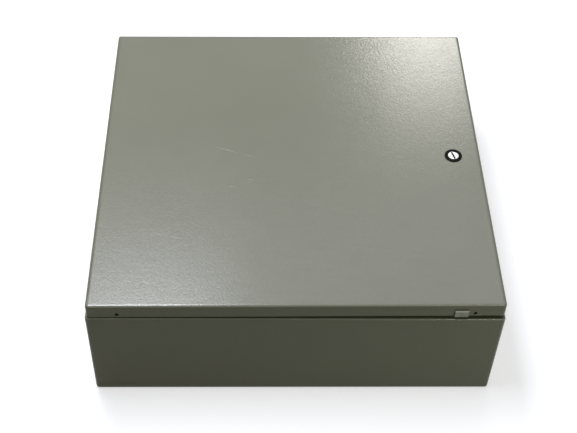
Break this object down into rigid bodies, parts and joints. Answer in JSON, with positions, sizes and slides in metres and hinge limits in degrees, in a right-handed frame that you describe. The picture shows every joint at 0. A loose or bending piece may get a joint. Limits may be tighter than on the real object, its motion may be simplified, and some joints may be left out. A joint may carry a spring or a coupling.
{
  "type": "electrical enclosure",
  "caption": "Square wall-mounting sheet steel enclosure with a concealed-hinge door, slotted quarter-turn latch, foamed door gasket and an inner mounting panel.",
  "frame": {"origin": "centre of the back face, the face that goes against the wall", "axes": "+X to the latch side, +Y to the enclosure's top edge, +Z out through the door; at rest it lies on its back as pictured"},
  "size_m": [0.6096, 0.6096, 0.2097],
  "materials": {
    "grey_coat": "semi-gloss grey powder coat with fine orange peel",
    "white_coat": "white powder coat",
    "zinc_plate": "bright zinc plate",
    "foam_seal": "foamed polyurethane",
    "rubber_seal": "moulded rubber",
    "black_latch": "black coated casting",
    "bright_driver": "polished nickel",
    "spring_clip": "dull plated spring steel"
  },
  "bodies": {
    "enclosure": {"enclosure_body": "grey_coat", "mounting_panel": "white_coat", "panel_studs": "zinc_plate", "panel_washers": "zinc_plate", "panel_nuts": "zinc_plate", "ground_stud": "zinc_plate", "ground_washer": "zinc_plate", "ground_nut": "zinc_plate", "upper_body_leaf": "grey_coat", "lower_body_leaf": "grey_coat"},
    "door": {"door_shell": "grey_coat", "door_gasket": "foam_seal", "upper_door_leaf": "grey_coat", "lower_door_leaf": "grey_coat", "upper_hinge_pin": "zinc_plate", "lower_hinge_pin": "zinc_plate", "hinge_pin_rings": "zinc_plate", "bond_stud": "zinc_plate", "bond_washer": "zinc_plate", "bond_nut": "zinc_plate", "latch_housing": "black_latch", "latch_seal": "rubber_seal", "latch_nut": "zinc_plate", "edge_clip": "spring_clip"},
    "latch": {"latch_driver": "bright_driver", "latch_cam": "zinc_plate", "cam_washer": "zinc_plate", "cam_screw": "zinc_plate"}
  },
  "joints": [
    {"name": "door_hinge", "type": "hinge", "parent": "enclosure", "child": "door", "pos_m": [-0.29645, 0, 0.19155], "axis": [0, -1, 0], "range_deg": [-0.5, 109.5]},
    {"name": "latch_turn", "type": "hinge", "parent": "door", "child": "latch", "pos_m": [0.25845, 0, 0.20804], "axis": [-0.0087, 0, 1], "range_deg": [-15, 75]}
  ]
}
